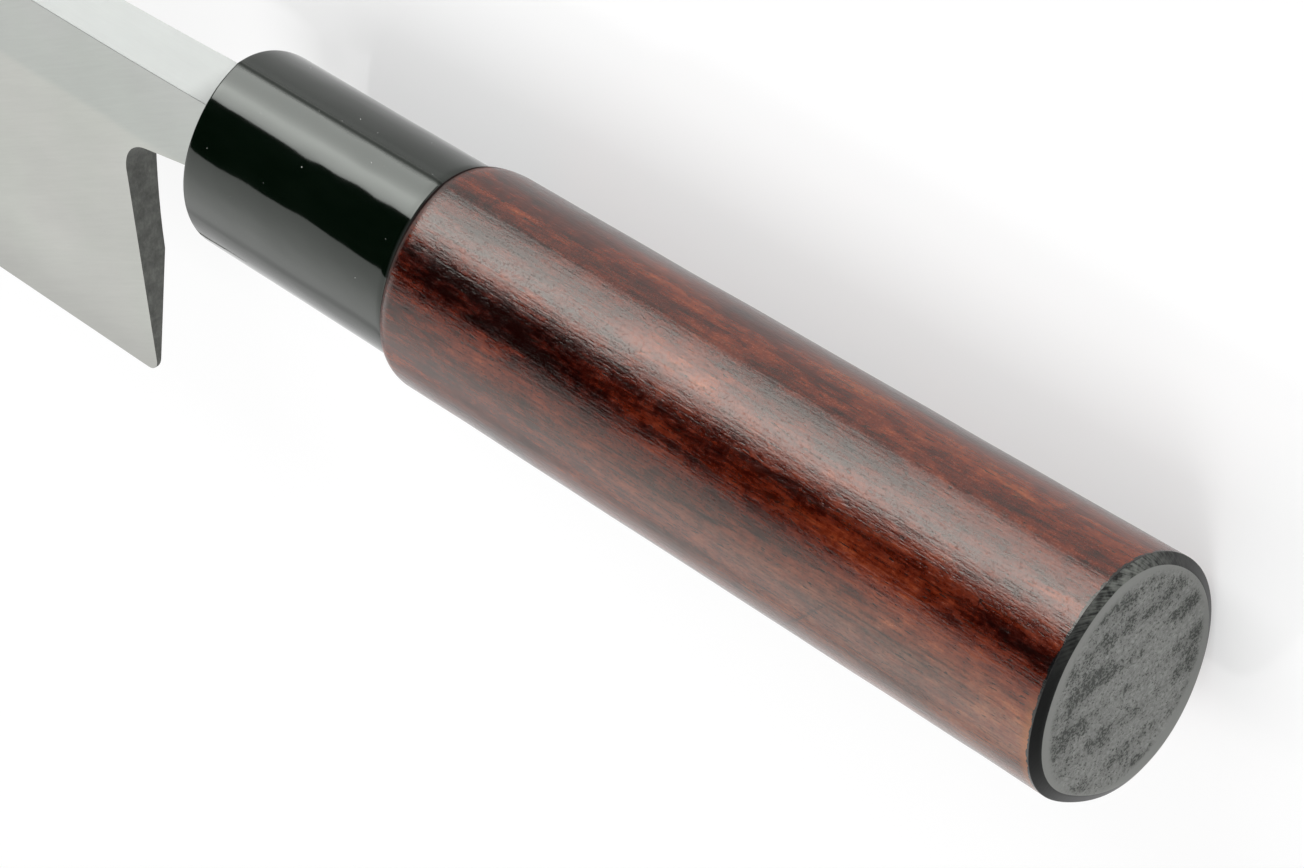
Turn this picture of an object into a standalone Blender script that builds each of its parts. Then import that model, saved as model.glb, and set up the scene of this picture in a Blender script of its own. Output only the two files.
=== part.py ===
"""Deba knife, right-handed, with a chestnut-section wooden handle and a moulded collar.

The knife lies on its right side. X runs along the handle towards the tip, Y from the spine towards
the cutting edge, and Z up, out of the flat left face of the blade. The origin is the middle of the
bottom of the knife's own box.

Sections are worked out in the knife's own terms: along (from the collar's front face towards the
tip), left (out of the flat face) and up (towards the spine), with the handle's axis at left = up = 0.
"""

import math

import bmesh
import bpy
from mathutils import Vector

MM = 0.001

# Handle
HANDLE_LENGTH = 125.3 * MM
COLLAR_LENGTH = 33.2 * MM
COLLAR_WIDTH = 22.6 * MM
COLLAR_HEIGHT = 27.0 * MM
COLLAR_WALL = 1.9 * MM
COLLAR_FRONT_WALL = 2.5 * MM
COLLAR_FRONT_ROUND = 0.5 * MM
COLLAR_BACK_CHAMFER = 0.25 * MM
GRIP_FRONT_WIDTH = 26.0 * MM
GRIP_FRONT_HEIGHT = 28.6 * MM
GRIP_FRONT_SHIFT = 0.25 * MM
GRIP_BUTT_WIDTH = 26.9 * MM
GRIP_BUTT_HEIGHT = 29.4 * MM
SHOULDER_ROUND = 2.2 * MM
SHOULDER_LIP = 0.25 * MM
BUTT_CHAMFER_ALONG = 0.65 * MM
BUTT_CHAMFER_IN = 1.2 * MM

# Chestnut section of the handle, as shares of its radius: how far it leans over, its three blunt
# ridges and its four, and the angle of the first of each, turning from the left side to the top
SECTION_LEAN = 0.045
SECTION_THREE = 0.022
SECTION_THREE_ANGLE = math.radians(-7.0)
SECTION_FOUR = 0.014
SECTION_FOUR_ANGLE = math.radians(-8.5)
SECTION_SIDES = 64
ROUND_STEPS = 5

# Blade
BLADE_LENGTH = 165.0 * MM
HEEL_SETBACK = 21.7 * MM
SPINE_UP = 6.55 * MM
BLADE_HEIGHT = 48.5 * MM
LEFT_FACE = 3.75 * MM
NECK_THICKNESS = 7.9 * MM
SPINE_TAPER = 0.0254
SPINE_CHAMFER = 0.3 * MM
EDGE_THICKNESS = 0.3 * MM
BEVEL_HEIGHT = 17.2 * MM
BEVEL_THICKNESS = 3.7 * MM
SIDE_HOLLOW_POWER = 1.8
STRAIGHT_SHARE = 0.36
TIP_DROP = 19.0 * MM
SPINE_CURVE_POWER = 2.2
BELLY_CURVE_POWER = 2.4
TIP_HEIGHT = 1.0 * MM
HOLLOW_WHEEL_RADIUS = 420.0 * MM
HOLLOW_TOP_BAND = 13.5 * MM
HOLLOW_EDGE_BAND = 2.6 * MM
HOLLOW_RUN_IN = 20.0 * MM
BEVEL_TIP_POWER = 0.6

# Heel, neck and notch
HEEL_CORNER_RADIUS = 2.0 * MM
NOTCH_RADIUS = 5.4 * MM
NECK_BOTTOM = 2.85 * MM
NECK_SLOPE = 0.17
NECK_LEFT_TAPER = 0.3 * MM
NECK_TAPER_LENGTH = 18.0 * MM

# Tang, the hole that takes it and the resin between them
TANG_LENGTH = 80.0 * MM
TANG_THICKNESS = 4.4 * MM
TANG_HEIGHT = 8.2 * MM
TANG_END_THICKNESS = 2.8 * MM
TANG_END_HEIGHT = 4.6 * MM
TANG_LEFT = 0.4 * MM
TANG_UP = 1.9 * MM
TANG_CORNER = 0.5 * MM
RESIN_THICKNESS = 1.1 * MM
GAP = 0.3 * MM

BLADE_STATIONS = 34
NECK_STATIONS = 5
BAND_STEPS = 6
SIDE_STEPS = 5
NOTCH_STEPS = 9
MOUTH_STEPS = 4

COLORS = {
    "blade": ((0.50, 0.51, 0.50), 1.0, 0.33),
    "collar": ((0.006, 0.007, 0.007), 0.0, 0.12),
    "grip": ((0.16, 0.028, 0.012), 0.0, 0.32),
    "tang_resin": ((0.35, 0.22, 0.08), 0.0, 0.40),
}

COLLAR_BACK = -COLLAR_LENGTH
GRIP_FRONT = COLLAR_BACK - GAP
BUTT = -HANDLE_LENGTH
TENON_FRONT = -(COLLAR_FRONT_WALL + GAP)
TANG_START = -COLLAR_FRONT_WALL
TANG_END = TANG_START - TANG_LENGTH
TIP = HEEL_SETBACK + BLADE_LENGTH
EDGE_UP = SPINE_UP - BLADE_HEIGHT
TIP_UP = SPINE_UP - TIP_DROP


def chestnut(angle, width, height):
    """A point of the handle's section, as (left, up)."""
    radius = 0.5 * (
        1
        + SECTION_LEAN * math.sin(2 * angle)
        + SECTION_THREE * math.cos(3 * (angle - SECTION_THREE_ANGLE))
        + SECTION_FOUR * math.cos(4 * (angle - SECTION_FOUR_ANGLE))
    )
    return width * radius * math.cos(angle), height * radius * math.sin(angle)


def chestnut_ring(along, width, height, shift=0.0):
    """The handle's section at one place, shifted to the left, as a ring of (along, left, up)."""
    turns = [2 * math.pi * i / SECTION_SIDES for i in range(SECTION_SIDES)]
    section = [chestnut(angle, width, height) for angle in turns]
    return [(along, left + shift, up) for left, up in section]


def slab_ring(along, thickness, height, middle_left, middle_up, corner):
    """A rectangle with cut corners, across the handle's axis."""
    half_t, half_h = thickness / 2, height / 2
    ring = []
    for side_l, side_u, first_l in ((1, 1, False), (-1, 1, True), (-1, -1, False), (1, -1, True)):
        near_l = (half_t - corner, half_h)
        near_u = (half_t, half_h - corner)
        for left, up in (near_l, near_u) if first_l else (near_u, near_l):
            ring.append((along, middle_left + side_l * left, middle_up + side_u * up))
    return ring


def handle_lowest():
    """How far the handle reaches to the right, which is down as the knife lies."""
    return -min(left for _, left, _ in chestnut_ring(BUTT, GRIP_BUTT_WIDTH, GRIP_BUTT_HEIGHT))


def handle_top():
    return max(up for _, _, up in chestnut_ring(BUTT, GRIP_BUTT_WIDTH, GRIP_BUTT_HEIGHT))


ORIGIN_ALONG = (TIP + BUTT) / 2
ORIGIN_UP = (handle_top() + EDGE_UP) / 2
ORIGIN_LEFT = -handle_lowest()


def placed(along, left, up):
    """The knife's own terms to the object's frame."""
    return Vector((along - ORIGIN_ALONG, ORIGIN_UP - up, left - ORIGIN_LEFT))


def new_object(name, mesh, collection):
    found = bpy.data.objects.new(name, mesh)
    collection.objects.link(found)
    return found


def loft(name, rings, collection):
    """A closed body through rings of equal length, capped at both ends."""
    shape = bmesh.new()
    made = [[shape.verts.new(placed(*point)) for point in ring] for ring in rings]
    count = len(rings[0])
    for first, second in zip(made, made[1:]):
        for i in range(count):
            j = (i + 1) % count
            shape.faces.new((first[i], first[j], second[j], second[i]))
    shape.faces.new(made[0])
    shape.faces.new(made[-1])
    bmesh.ops.recalc_face_normals(shape, faces=shape.faces)
    mesh = bpy.data.meshes.new(name)
    shape.to_mesh(mesh)
    shape.free()
    return new_object(name, mesh, collection)


def smooth(piece, degrees):
    piece.data.shade_smooth()
    piece.data.set_sharp_from_angle(angle=math.radians(degrees))


def boolean(piece, other, operation):
    modifier = piece.modifiers.new(other.name, "BOOLEAN")
    modifier.operation = operation
    modifier.object = other


def finish(piece):
    """The piece's own material."""
    color, metallic, roughness = COLORS[piece.name]
    material = bpy.data.materials.new(piece.name)
    material.use_nodes = True
    shader = material.node_tree.nodes["Principled BSDF"]
    shader.inputs["Base Color"].default_value = (*color, 1)
    shader.inputs["Metallic"].default_value = metallic
    shader.inputs["Roughness"].default_value = roughness
    piece.data.materials.append(material)


def arc(middle, radius, start, end, steps):
    """Points of an arc as (along, up), from one angle in degrees to another."""
    turns = [math.radians(start + (end - start) * i / steps) for i in range(steps + 1)]
    return [(middle[0] + radius * math.cos(t), middle[1] + radius * math.sin(t)) for t in turns]


def curve_share(along):
    """0 along the straight part of the blade, rising to 1 at the tip."""
    start = HEEL_SETBACK + STRAIGHT_SHARE * BLADE_LENGTH
    return max(0.0, (along - start) / (TIP - start))


def spine_at(along):
    return SPINE_UP - (TIP_DROP - TIP_HEIGHT / 2) * curve_share(along) ** SPINE_CURVE_POWER


def edge_at(along):
    rise = TIP_UP - TIP_HEIGHT / 2 - EDGE_UP
    return EDGE_UP + rise * curve_share(along) ** BELLY_CURVE_POWER


def left_face_at(along):
    """The flat left face, drawn in a little along the neck."""
    neck = max(0.0, 1 - along / NECK_TAPER_LENGTH)
    return LEFT_FACE - NECK_LEFT_TAPER * neck


def bevel_height(along):
    """How far the ground bevel reaches above the cutting edge."""
    height = spine_at(along) - edge_at(along)
    share = min(1.0, height / BLADE_HEIGHT)
    return min(BEVEL_HEIGHT * share**BEVEL_TIP_POWER, 0.9 * height)


def thickness_at(along, rise):
    """Thickness above the bevel, from 0 at the ridge line to 1 at the spine."""
    bevel = bevel_height(along)
    above = spine_at(along) - edge_at(along) - bevel
    ridge = EDGE_THICKNESS + (BEVEL_THICKNESS - EDGE_THICKNESS) * bevel / BEVEL_HEIGHT
    widening = (NECK_THICKNESS - BEVEL_THICKNESS) / (BLADE_HEIGHT - BEVEL_HEIGHT)
    spine = min(NECK_THICKNESS - SPINE_TAPER * along, ridge + widening * above)
    return ridge + (spine - ridge) * rise**SIDE_HOLLOW_POWER


def hollow_depth(along, width):
    """How deep the wheel has cut into the left face, nothing at the heel and fully past its run-in."""
    share = min(1.0, max(0.0, (along - HEEL_SETBACK) / HOLLOW_RUN_IN))
    return share * width**2 / (8 * HOLLOW_WHEEL_RADIUS)


def blade_ring(along):
    """The blade's section: down the flat left face, round the edge, and up the bevelled right face."""
    top, edge = spine_at(along), edge_at(along)
    share = (top - edge) / BLADE_HEIGHT
    face = left_face_at(along)
    chamfer = SPINE_CHAMFER * min(1.0, 2 * share)

    band_top = top - HOLLOW_TOP_BAND * share
    width = band_top - edge - HOLLOW_EDGE_BAND * share
    depth = hollow_depth(along, width)
    ring = [(along, face, top - chamfer)]
    for i in range(BAND_STEPS + 1):
        across = 2 * i / BAND_STEPS - 1
        ring.append((along, face - depth * (1 - across**2), band_top - width * i / BAND_STEPS))
    ring.append((along, face, edge))
    ring.append((along, face - EDGE_THICKNESS, edge))

    ridge_up = edge + bevel_height(along)
    for i in range(SIDE_STEPS + 1):
        rise = i / SIDE_STEPS
        up = ridge_up + (top - chamfer - ridge_up) * rise
        ring.append((along, face - thickness_at(along, rise), up))
    ring.append((along, face - thickness_at(along, 1) + chamfer, top))
    ring.append((along, face - chamfer, top))
    return ring


def blade_stations():
    """Places along the blade, close together towards the tip."""
    neck = [TANG_START + (HEEL_SETBACK - TANG_START) * i / NECK_STATIONS for i in range(NECK_STATIONS)]
    turns = [0.5 * math.pi * i / BLADE_STATIONS for i in range(BLADE_STATIONS + 1)]
    return neck + [HEEL_SETBACK + BLADE_LENGTH * math.sin(turn) for turn in turns]


def extruded(name, outline, collection):
    """A closed plate from an outline of (along, up), wider than the blade is thick."""
    half = NECK_THICKNESS
    rings = [[(along, side, up) for along, up in outline] for side in (-half, half)]
    return loft(name, rings, collection)


def heel_cutter(collection):
    """What is cut away under the neck and behind the heel, with the notch and the rounded corner."""
    lowest = EDGE_UP - BLADE_HEIGHT
    back = TANG_START - HEEL_SETBACK
    corner = (HEEL_SETBACK + HEEL_CORNER_RADIUS, EDGE_UP + HEEL_CORNER_RADIUS)
    lean = math.degrees(math.atan(NECK_SLOPE))
    notch_along = HEEL_SETBACK - NOTCH_RADIUS
    drop = NOTCH_RADIUS / math.cos(math.radians(lean))
    notch_up = -NECK_BOTTOM - NECK_SLOPE * notch_along - drop
    outline = [(back, lowest), (corner[0], lowest)]
    outline += arc(corner, HEEL_CORNER_RADIUS, 270, 180, ROUND_STEPS)
    outline += arc((notch_along, notch_up), NOTCH_RADIUS, 0, 90 - lean, NOTCH_STEPS)
    outline += [(back, -NECK_BOTTOM - NECK_SLOPE * back)]
    return extruded("heel_cutter", outline, collection)


def tang_rings(grow, start, end):
    """The tapered tang, or its hole where grow is its clearance."""
    rings = []
    for along in (start, end):
        share = min(1.0, (TANG_START - along) / TANG_LENGTH)
        thickness = TANG_THICKNESS + (TANG_END_THICKNESS - TANG_THICKNESS) * share + 2 * grow
        height = TANG_HEIGHT + (TANG_END_HEIGHT - TANG_HEIGHT) * share + 2 * grow
        rings.append(slab_ring(along, thickness, height, TANG_LEFT, TANG_UP, TANG_CORNER))
    return rings


def make_blade(parts, cutters):
    blade = loft("blade", [blade_ring(along) for along in blade_stations()], parts)
    overlap = COLLAR_FRONT_WALL
    tang = loft("tang_shape", tang_rings(0, TANG_START + overlap, TANG_END), cutters)
    boolean(blade, heel_cutter(cutters), "DIFFERENCE")
    boolean(blade, tang, "UNION")
    smooth(blade, 25)
    return blade


def collar_rings():
    """Round the front edge, along the outside, over the back edge and up the bore to the front wall."""
    rings = []
    for i in range(ROUND_STEPS + 1):
        turn = 0.5 * math.pi * i / ROUND_STEPS
        inward = 2 * COLLAR_FRONT_ROUND * (1 - math.sin(turn))
        along = -COLLAR_FRONT_ROUND * (1 - math.cos(turn))
        rings.append(chestnut_ring(along, COLLAR_WIDTH - inward, COLLAR_HEIGHT - inward))
    chamfer = COLLAR_BACK_CHAMFER
    rings.append(chestnut_ring(COLLAR_BACK + chamfer, COLLAR_WIDTH, COLLAR_HEIGHT))
    rings.append(chestnut_ring(COLLAR_BACK, COLLAR_WIDTH - 2 * chamfer, COLLAR_HEIGHT - 2 * chamfer))
    bore_width, bore_height = COLLAR_WIDTH - 2 * COLLAR_WALL, COLLAR_HEIGHT - 2 * COLLAR_WALL
    rings.append(chestnut_ring(COLLAR_BACK, bore_width, bore_height))
    rings.append(chestnut_ring(-COLLAR_FRONT_WALL, bore_width, bore_height))
    return rings


def mouth_cutter(collection):
    """The opening in the collar's front wall: the neck's own section with its clearance."""
    face = left_face_at(0)
    ridge_up = EDGE_UP + BEVEL_HEIGHT
    lowest = -NECK_BOTTOM
    section = [(face + GAP, lowest - GAP), (face + GAP, SPINE_UP + GAP)]
    for i in range(MOUTH_STEPS + 1):
        up = SPINE_UP + (lowest - SPINE_UP) * i / MOUTH_STEPS
        across = thickness_at(0, (up - ridge_up) / (SPINE_UP - ridge_up))
        section.append((face - across - GAP, up + GAP * (1 - 2 * i / MOUTH_STEPS)))
    ends = (COLLAR_FRONT_WALL, -2 * COLLAR_FRONT_WALL)
    rings = [[(along, left, up) for left, up in section] for along in ends]
    return loft("mouth_cutter", rings, collection)


def make_collar(parts, cutters):
    collar = loft("collar", collar_rings(), parts)
    boolean(collar, mouth_cutter(cutters), "DIFFERENCE")
    smooth(collar, 40)
    return collar


def grip_rings():
    """The tenon, the rounded shoulder, the swelling grip and the chamfered butt."""
    tenon_width = COLLAR_WIDTH - 2 * COLLAR_WALL - 2 * GAP
    tenon_height = COLLAR_HEIGHT - 2 * COLLAR_WALL - 2 * GAP
    rings = [chestnut_ring(along, tenon_width, tenon_height) for along in (TENON_FRONT, GRIP_FRONT)]
    lip_width, lip_height = COLLAR_WIDTH + 2 * SHOULDER_LIP, COLLAR_HEIGHT + 2 * SHOULDER_LIP
    for i in range(ROUND_STEPS + 1):
        turn = 0.5 * math.pi * i / ROUND_STEPS
        width = lip_width + (GRIP_FRONT_WIDTH - lip_width) * math.sin(turn)
        height = lip_height + (GRIP_FRONT_HEIGHT - lip_height) * math.sin(turn)
        along = GRIP_FRONT - SHOULDER_ROUND * (1 - math.cos(turn))
        rings.append(chestnut_ring(along, width, height, GRIP_FRONT_SHIFT * math.sin(turn)))
    rings.append(chestnut_ring(BUTT + BUTT_CHAMFER_ALONG, GRIP_BUTT_WIDTH, GRIP_BUTT_HEIGHT))
    inward = 2 * BUTT_CHAMFER_IN
    rings.append(chestnut_ring(BUTT, GRIP_BUTT_WIDTH - inward, GRIP_BUTT_HEIGHT - inward))
    return rings


def make_grip(parts, cutters):
    grip = loft("grip", grip_rings(), parts)
    clearance = 2 * GAP + RESIN_THICKNESS
    hole = tang_rings(clearance, TENON_FRONT + COLLAR_FRONT_WALL, TANG_END - clearance)
    boolean(grip, loft("tang_hole_cutter", hole, cutters), "DIFFERENCE")
    smooth(grip, 35)
    return grip


def make_resin(parts):
    """A cup of resin round the tang, open at the front."""
    outside = tang_rings(GAP + RESIN_THICKNESS, TENON_FRONT, TANG_END - GAP - RESIN_THICKNESS)
    inside = tang_rings(GAP, TENON_FRONT, TANG_END - GAP)
    return loft("tang_resin", outside[::-1] + inside, parts)


def main():
    for found in list(bpy.data.objects):
        bpy.data.objects.remove(found)
    parts = bpy.data.collections.new("deba_knife")
    cutters = bpy.data.collections.new("cutters")
    bpy.context.scene.collection.children.link(parts)
    bpy.context.scene.collection.children.link(cutters)
    pieces = [
        make_blade(parts, cutters),
        make_collar(parts, cutters),
        make_grip(parts, cutters),
        make_resin(parts),
    ]
    for piece in pieces:
        finish(piece)
    for cutter in cutters.objects:
        cutter.hide_render = True
        cutter.display_type = "WIRE"


main()
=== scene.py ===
"""Deba knife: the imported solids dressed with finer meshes, materials, light and the camera.

Shapes are worked out in the knife's own terms, as in the part's source: along (from the collar's
front face towards the tip), left (out of the flat face) and up (towards the spine), in metres.
Materials work in millimetres, and in degrees round the handle: 0 is left and 90 is up.
"""

import math

import bmesh
import bpy
from mathutils import Matrix, Vector, noise


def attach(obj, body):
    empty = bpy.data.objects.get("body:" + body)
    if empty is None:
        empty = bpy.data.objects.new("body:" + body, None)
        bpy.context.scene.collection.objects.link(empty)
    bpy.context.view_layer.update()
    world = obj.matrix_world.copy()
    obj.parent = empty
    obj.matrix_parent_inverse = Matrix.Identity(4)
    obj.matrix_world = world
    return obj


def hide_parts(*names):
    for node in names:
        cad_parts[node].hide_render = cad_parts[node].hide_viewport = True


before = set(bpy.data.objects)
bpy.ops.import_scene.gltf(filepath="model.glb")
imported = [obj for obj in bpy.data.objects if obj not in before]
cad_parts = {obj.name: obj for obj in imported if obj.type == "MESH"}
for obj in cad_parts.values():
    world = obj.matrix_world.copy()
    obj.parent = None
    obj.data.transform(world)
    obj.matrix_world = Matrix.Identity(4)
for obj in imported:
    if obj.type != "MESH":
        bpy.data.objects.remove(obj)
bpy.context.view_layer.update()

MM = 0.001

# Where the knife's own origin lies in the frame
ORIGIN_ALONG = 30.7 * MM
ORIGIN_UP = -13.4817 * MM
ORIGIN_LEFT = -13.3737 * MM

# Handle
BUTT = -125.3 * MM
COLLAR_BACK = -33.2 * MM
COLLAR_SIZE = (22.6 * MM, 27.0 * MM)
COLLAR_WALL = 1.9 * MM
COLLAR_FRONT_WALL = 2.5 * MM
COLLAR_FRONT_ROUND = 0.5 * MM
COLLAR_BEAD = 1.3 * MM
COLLAR_BEAD_IN = 0.55 * MM
GAP = 0.3 * MM
GRIP_FRONT = COLLAR_BACK - GAP
GRIP_FRONT_SIZE = (26.0 * MM, 28.6 * MM)
GRIP_FRONT_SHIFT = 0.25 * MM
GRIP_BUTT_SIZE = (26.86 * MM, 29.36 * MM)
SHOULDER_ROUND = 2.2 * MM
SHOULDER_LIP = 0.25 * MM
SHOULDER_START = 22
CHAMFER_ALONG = 0.65 * MM
CHAMFER_IN = 1.2 * MM
CHAMFER_SHARES = (0.04, 0.35, 0.7, 0.96)
BUTT_SHARES = (1.06, 1.5)
# How far back from the joint the grip's front edge carries the painted shade
PAINTED_SHADE_RIM = 0.6 * MM
CLOSE = 0.01 * MM
HOLE_CLEARANCE = 2 * GAP + 1.1 * MM

# The handle's section: how far it leans for a right hand, and its 3 and 4 lobes with their turns
SIDES = 192
LEAN = 0.045
THREE_LOBES, THREE_LOBES_TURN = 0.022, 7.0
FOUR_LOBES, FOUR_LOBES_TURN = 0.014, 8.5

# The flatter upper left, and the low ridge along the mould line, in degrees round the handle
FLAT_START, FLAT_END = (-42, 12), (17, 47)
PARTING_LINE = 80.625
PARTING_WIDTH_LEFT, PARTING_WIDTH_RIGHT = 12.3, 30.7
PARTING_START, PARTING_END = (20, 60), (110, 160)

# How far the handle is drawn in on its flatter side (front, butt) and beside the mould line, and
# the unevenness of a hand-finished surface: how deep it is, how long its waves are, the circle
# they are laid on round the handle, and how fast they fade towards the grip's ends
GRIP_FLAT = (0.20 * MM, 0.28 * MM)
GRIP_RIDGE = 0.13 * MM
COLLAR_RIDGE = 0.18 * MM
GRIP_WAVE, GRIP_WAVE_LENGTH = 0.10 * MM, 10 * MM
COLLAR_WAVE, COLLAR_WAVE_LENGTH = 0.06 * MM, 6 * MM
WAVE_CIRCLE = 2.2
WAVE_FADE = 12

# Blade
BLADE_LENGTH = 165.0 * MM
HEEL = 21.7 * MM
TIP = HEEL + BLADE_LENGTH
SPINE_UP = 6.55 * MM
BLADE_HEIGHT = 48.5 * MM
EDGE_UP = SPINE_UP - BLADE_HEIGHT
LEFT_FACE = 3.75 * MM
NECK_FACE_IN = 0.3 * MM
NECK_FACE_LENGTH = 24.0 * MM
NECK_THICKNESS = 7.9 * MM
SPINE_TAPER = 0.0254
SPINE_CHAMFER = 0.04 * MM
SPINE_FACING = 0.7
EDGE_THICKNESS = 0.3 * MM
EDGE_SOFTENING = 0.12 * MM
BEVEL_HEIGHT = 17.2 * MM
BEVEL_THICKNESS = 3.7 * MM
BEVEL_FALL = 0.6
BEVEL_MOST = 0.9
SIDE_HOLLOW_POWER = 1.8
TIP_DROP = 19.0 * MM
TIP_HEIGHT = 1.0 * MM
CURVE_START = 0.36
SPINE_CURVE_POWER = 2.2
EDGE_CURVE_POWER = 2.4
HOLLOW_WHEEL_RADIUS = 420.0 * MM
HOLLOW_TOP_BAND = 13.5 * MM
HOLLOW_EDGE_BAND = 2.6 * MM
HOLLOW_RUN_IN = (HEEL - 2 * MM, HEEL + 24 * MM)
HEEL_CORNER = 2.0 * MM
NOTCH = 5.4 * MM
NECK_BOTTOM = 2.85 * MM
NECK_SLOPE = 0.17
TANG_START = -COLLAR_FRONT_WALL
TANG_OVERLAP = 2.5 * MM
TANG_LENGTH = 80.0 * MM
TANG_SIZE, TANG_TAPER = (4.4, 8.2), (1.6, 3.6)
TANG_CORNER = 0.5 * MM
TANG_LEFT, TANG_UP = 0.4 * MM, 1.9 * MM

# How many steps the rings and outlines are drawn in
NECK_STEPS = 14
BLADE_STEPS = 90
HOLLOW_STEPS = 16
SIDE_STEPS = 12
CORNER_STEPS = 12
NOTCH_STEPS = 24
EDGE_ROUND_STEPS = 12
COLLAR_STEPS = 40
MOUTH_STEPS = 4
SHOULDER_STEPS = 16
GRIP_STEPS = 70

# Lamps: middle, facing, width along X, height, and the level at shares of the height, ends first
LAMPS = {
    "key": (
        (0.75, -1.0, 0.43), (0, 1, 0), 1.7, 0.86,
        ((0.0, 3.6), (1.0, 2.8), (0.2, 3.3), (0.37, 4.4), (0.55, 6.0), (0.77, 5.4), (0.93, 4.2)),
    ),
    "fill": (
        (0.8, 0.60, 0.832), (0, -0.64, -0.80), 3.0, 1.82,
        (
            (0.0, 1.1), (1.0, 0.0), (0.24, 1.3), (0.53, 1.66),
            (0.67, 1.5), (0.77, 0.72), (0.88, 0.05),
        ),
    ),
    "soft": ((-0.1, -0.6, 1.4), (0, 0.39, -0.92), 1.6, 1.6, ((0.0, 0.6), (1.0, 0.6))),
}

FLOOR_REACH = 6.0
FLOOR_DROP = 0.05 * MM

# The camera, fitted to the handle, the collar and the heel
CAMERA_LENS = 109.594
CAMERA_SENSOR = 36.0
CAMERA_PLACE = (-0.32174, -0.27817, 0.22797)
CAMERA_RIGHT = (-0.70749644, 0.04106761, -0.70552267)
CAMERA_UP = (0.43902712, -0.75677131, -0.48430607)
CAMERA_FORWARD = (0.55380861, 0.65238841, -0.51738321)


def placed(along, left, up):
    """The knife's own terms to the frame."""
    return Vector((along - ORIGIN_ALONG, ORIGIN_UP - up, left - ORIGIN_LEFT))


def chestnut(angle, width, height):
    """A point of the handle's section, as (left, up)."""
    radius = 0.5 * (
        1
        + LEAN * math.sin(2 * angle)
        + THREE_LOBES * math.cos(3 * (angle + math.radians(THREE_LOBES_TURN)))
        + FOUR_LOBES * math.cos(4 * (angle + math.radians(FOUR_LOBES_TURN)))
    )
    return width * radius * math.cos(angle), height * radius * math.sin(angle)


def eased(value, low, high):
    """0 up to low and 1 from high, with a soft start and end between them."""
    share = min(1.0, max(0.0, (value - low) / (high - low)))
    return share * share * (3 - 2 * share)


def signed_degrees(angle):
    return (math.degrees(angle) + 180) % 360 - 180


def flattening(angle):
    """1 on the flatter upper left of the handle, falling to 0 at its ridge and to the right."""
    turn = signed_degrees(angle)
    return eased(turn, *FLAT_START) - eased(turn, *FLAT_END)


def parting(angle):
    """0 on the ridge along the mould line, rising to 1 on the left and right of it."""
    turn = signed_degrees(angle)
    width = PARTING_WIDTH_LEFT if turn < PARTING_LINE else -PARTING_WIDTH_RIGHT
    peak = max(0.0, 1 - (PARTING_LINE - turn) / width) ** 2
    return eased(turn, *PARTING_START) - eased(turn, *PARTING_END) - peak


def handle_ring(along, size, shift=0.0, wave=0.0, length=GRIP_WAVE_LENGTH, flat=0.0, ridge=0.0):
    """The handle's section, drawn in by up to wave here and there, by flat on its flatter side,
    and by ridge beside the mould line."""
    ring = []
    for i in range(SIDES):
        angle = 2 * math.pi * i / SIDES
        left, up = chestnut(angle, *size)
        across, over = WAVE_CIRCLE * math.cos(angle), WAVE_CIRCLE * math.sin(angle)
        inward = (
            wave * (0.5 + 0.5 * noise.noise(Vector((along / length, across, over))))
            + flat * flattening(angle)
            + ridge * parting(angle)
        )
        far = math.hypot(left, up)
        ring.append((along, left * (1 - inward / far) + shift, up * (1 - inward / far)))
    return ring


def slab_ring(along, thickness, height):
    """The tang's section: a slab with its corners cut off."""
    half_t, half_h = thickness / 2, height / 2
    ring = []
    for side_l, side_u, first_l in ((1, 1, False), (-1, 1, True), (-1, -1, False), (1, -1, True)):
        near = [(half_t, half_h - TANG_CORNER), (half_t - TANG_CORNER, half_h)]
        for l, u in reversed(near) if first_l else near:
            ring.append((along, TANG_LEFT + side_l * l, TANG_UP + side_u * u))
    return ring


def loft(name, rings):
    """A closed body through rings of equal length, capped at both ends."""
    shape = bmesh.new()
    made = [[shape.verts.new(placed(*point)) for point in ring] for ring in rings]
    for first, second in zip(made, made[1:]):
        for i in range(len(first)):
            j = (i + 1) % len(first)
            shape.faces.new((first[i], first[j], second[j], second[i]))
    shape.faces.new(made[0])
    shape.faces.new(made[-1])
    bmesh.ops.recalc_face_normals(shape, faces=shape.faces)
    mesh = bpy.data.meshes.new(name)
    shape.to_mesh(mesh)
    shape.free()
    piece = bpy.data.objects.new(name, mesh)
    bpy.context.scene.collection.objects.link(piece)
    return piece


def settle(piece):
    """The piece's modifiers made part of its mesh."""
    solved = piece.evaluated_get(bpy.context.evaluated_depsgraph_get())
    mesh = bpy.data.meshes.new_from_object(solved)
    piece.modifiers.clear()
    piece.data = mesh


def combine(piece, other, operation):
    """The other body joined to the piece or cut from it, with its material on what it leaves."""
    modifier = piece.modifiers.new("combine", "BOOLEAN")
    modifier.operation = operation
    modifier.object = other
    modifier.material_mode = "TRANSFER"
    settle(piece)
    bpy.data.objects.remove(other)


def soften(piece, width, segments, degrees):
    """A narrow round on the edges that turn by more than degrees."""
    modifier = piece.modifiers.new("soften", "BEVEL")
    modifier.width = width
    modifier.segments = segments
    modifier.limit_method = "ANGLE"
    modifier.angle_limit = math.radians(degrees)
    settle(piece)


def smooth(piece, degrees):
    """Smooth shading, but for the edges that turn by more than degrees."""
    piece.data.shade_smooth()
    piece.data.set_sharp_from_angle(angle=math.radians(degrees))


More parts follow.
